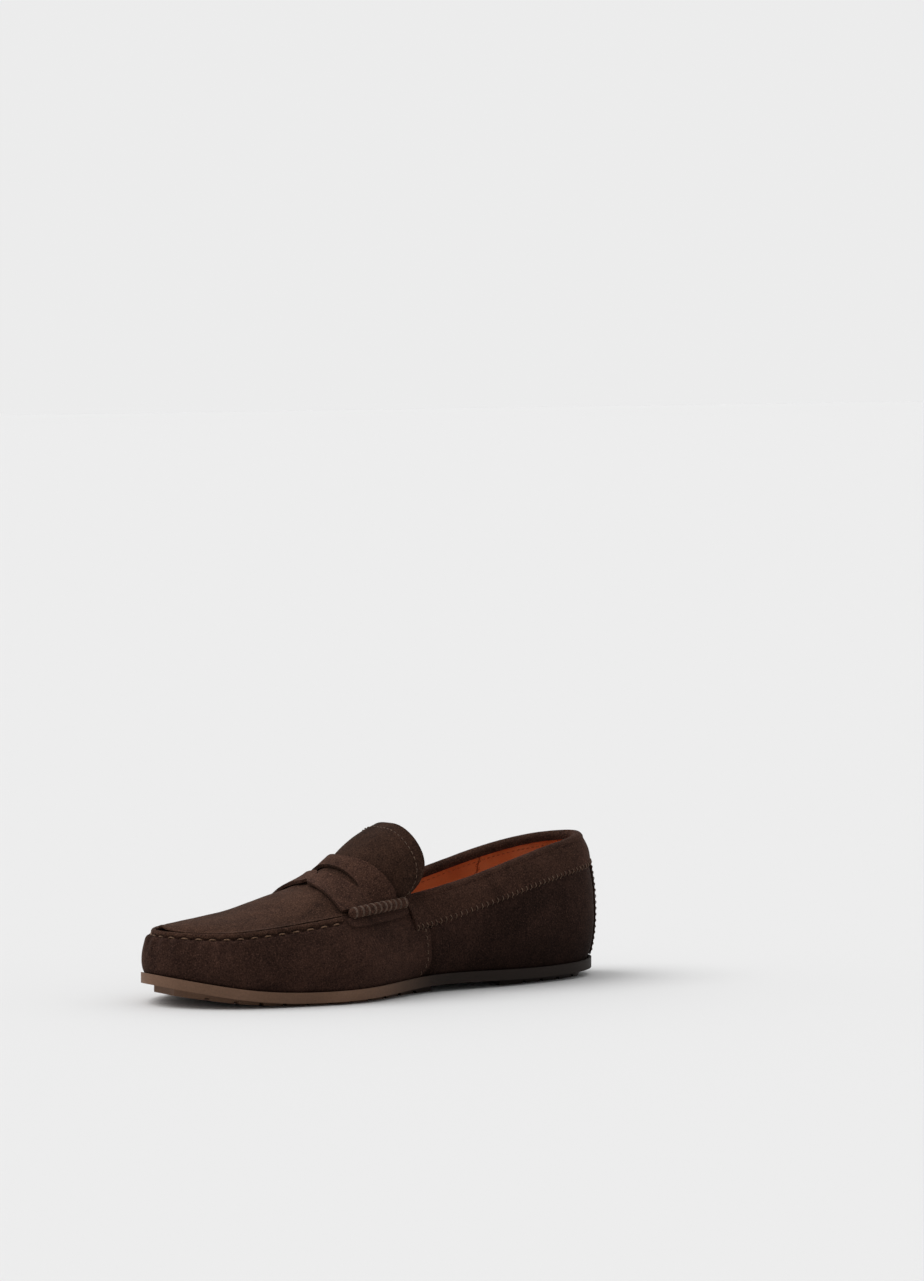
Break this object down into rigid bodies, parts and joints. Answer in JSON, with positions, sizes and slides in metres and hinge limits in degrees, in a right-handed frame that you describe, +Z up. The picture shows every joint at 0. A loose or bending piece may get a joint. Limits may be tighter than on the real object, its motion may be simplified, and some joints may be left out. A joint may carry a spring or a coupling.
{
  "type": "driving moccasin",
  "caption": "Left-foot slip-on suede moccasin with an apron toe, saddle strap with slot, rolled strap ends and a low rubber cup sole.",
  "frame": {"origin": "on the floor under the middle of the shoe's box", "axes": "+Z up, toe towards -Y, heel towards +Y, lateral (outer) side towards +X"},
  "size_m": [0.1054, 0.2936, 0.093],
  "materials": {
    "suede": "napped suede",
    "lining_leather": "smooth",
    "sole_rubber": "matte",
    "board": "pressed fibre",
    "foam": "foam",
    "cord_thread": "waxed cord",
    "wrap_thread": "waxed thread",
    "fine_thread": "waxed thread"
  },
  "bodies": {
    "root": {"vamp": "suede", "quarter_lateral": "suede", "quarter_medial": "suede", "apron": "suede", "saddle_strap": "suede", "collar_band": "suede", "backstay": "suede", "strap_roll_lateral": "suede", "strap_roll_medial": "suede", "strap_tab_lateral": "suede", "strap_tab_medial": "suede", "heel_lining": "lining_leather", "quarter_lining_lateral": "lining_leather", "quarter_lining_medial": "lining_leather", "vamp_lining": "lining_leather", "tongue_lining": "lining_leather", "sock_liner": "lining_leather", "outsole": "sole_rubber", "insole_board": "board", "heel_counter": "board", "footbed_cushion": "foam", "bottom_filler": "foam", "apron_stitches": "cord_thread", "roll_wraps_lateral": "wrap_thread", "roll_wraps_medial": "wrap_thread", "side_seam_stitches_lateral": "fine_thread", "side_seam_stitches_medial": "fine_thread", "backstay_stitches": "fine_thread", "tongue_stitches": "fine_thread", "collar_stitches": "fine_thread"}
  },
  "joints": []
}
